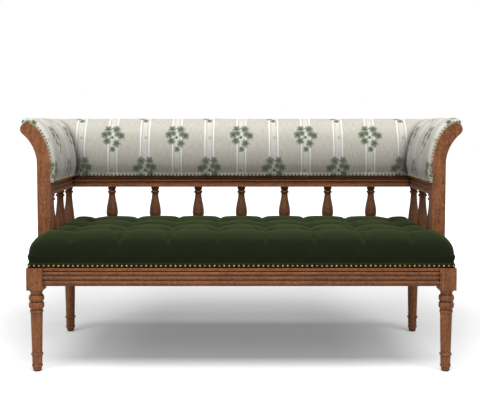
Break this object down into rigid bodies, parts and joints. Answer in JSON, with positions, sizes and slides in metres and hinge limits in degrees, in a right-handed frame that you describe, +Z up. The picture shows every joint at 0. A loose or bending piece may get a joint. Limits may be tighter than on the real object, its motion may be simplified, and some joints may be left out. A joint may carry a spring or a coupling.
{
  "type": "bench with backrest",
  "caption": "Wide bench with a low rolled back and arms on turned balusters, a tufted seat, reeded rails, turned tapered legs and nail-head trim.",
  "frame": {"origin": "on the floor, under the middle of the bounding box", "axes": "+Z up, +X along the width, -Y towards the sitter's front"},
  "size_m": [1.4502, 0.651, 0.8052],
  "materials": {
    "show_wood_upright": "mid-brown stained hardwood, satin, grain upright",
    "show_wood_across": "mid-brown stained hardwood, satin, grain across the width",
    "show_wood_along": "mid-brown stained hardwood, satin, grain from front to back",
    "frame_wood": "unfinished softwood",
    "plywood": "unfinished plywood",
    "printed_cloth": "greige woven cloth with white stripes and leaf sprigs",
    "green_velvet": "dark green velvet",
    "foam": "polyurethane foam",
    "jute": "jute webbing and hessian",
    "dust_cloth": "black woven dust cloth",
    "nail_brass": "antique brass",
    "screw_steel": "zinc-plated steel",
    "glide_plastic": "black nylon"
  },
  "bodies": {
    "root": {"front_left_leg": "show_wood_upright", "front_right_leg": "show_wood_upright", "rear_left_leg": "show_wood_upright", "rear_right_leg": "show_wood_upright", "leg_glides": "glide_plastic", "front_seat_rail": "show_wood_across", "rear_seat_rail": "show_wood_across", "left_seat_rail": "show_wood_along", "right_seat_rail": "show_wood_along", "cross_bearer": "frame_wood", "side_ledgers": "frame_wood", "rear_ledger": "frame_wood", "ledger_screws": "screw_steel", "corner_blocks": "frame_wood", "corner_screws": "screw_steel", "left_arm_post": "show_wood_upright", "right_arm_post": "show_wood_upright", "back_rail": "show_wood_across", "left_arm_rail": "show_wood_along", "right_arm_rail": "show_wood_along", "back_baluster_1": "show_wood_upright", "back_baluster_2": "show_wood_upright", "back_baluster_3": "show_wood_upright", "back_baluster_4": "show_wood_upright", "back_baluster_5": "show_wood_upright", "back_baluster_6": "show_wood_upright", "back_baluster_7": "show_wood_upright", "back_baluster_8": "show_wood_upright", "back_baluster_9": "show_wood_upright", "left_arm_balusters": "show_wood_upright", "right_arm_balusters": "show_wood_upright", "back_top_rail": "frame_wood", "arm_top_rails": "frame_wood", "back_ribs": "plywood", "arm_ribs": "plywood", "back_skin": "plywood", "arm_skins": "plywood", "back_foam": "foam", "arm_foams": "foam", "back_cover": "printed_cloth", "left_arm_cover": "printed_cloth", "right_arm_cover": "printed_cloth", "back_outside": "printed_cloth", "left_arm_outside": "printed_cloth", "right_arm_outside": "printed_cloth", "back_nails": "nail_brass", "arm_nails": "nail_brass", "seat_front_batten": "frame_wood", "seat_rear_batten": "frame_wood", "seat_side_battens": "frame_wood", "seat_ear_blocks": "frame_wood", "seat_webbing": "jute", "seat_hessian": "jute", "seat_foam": "foam", "seat_cover": "green_velvet", "seat_buttons": "green_velvet", "seat_nails": "nail_brass", "dust_cover": "dust_cloth"}
  },
  "joints": []
}
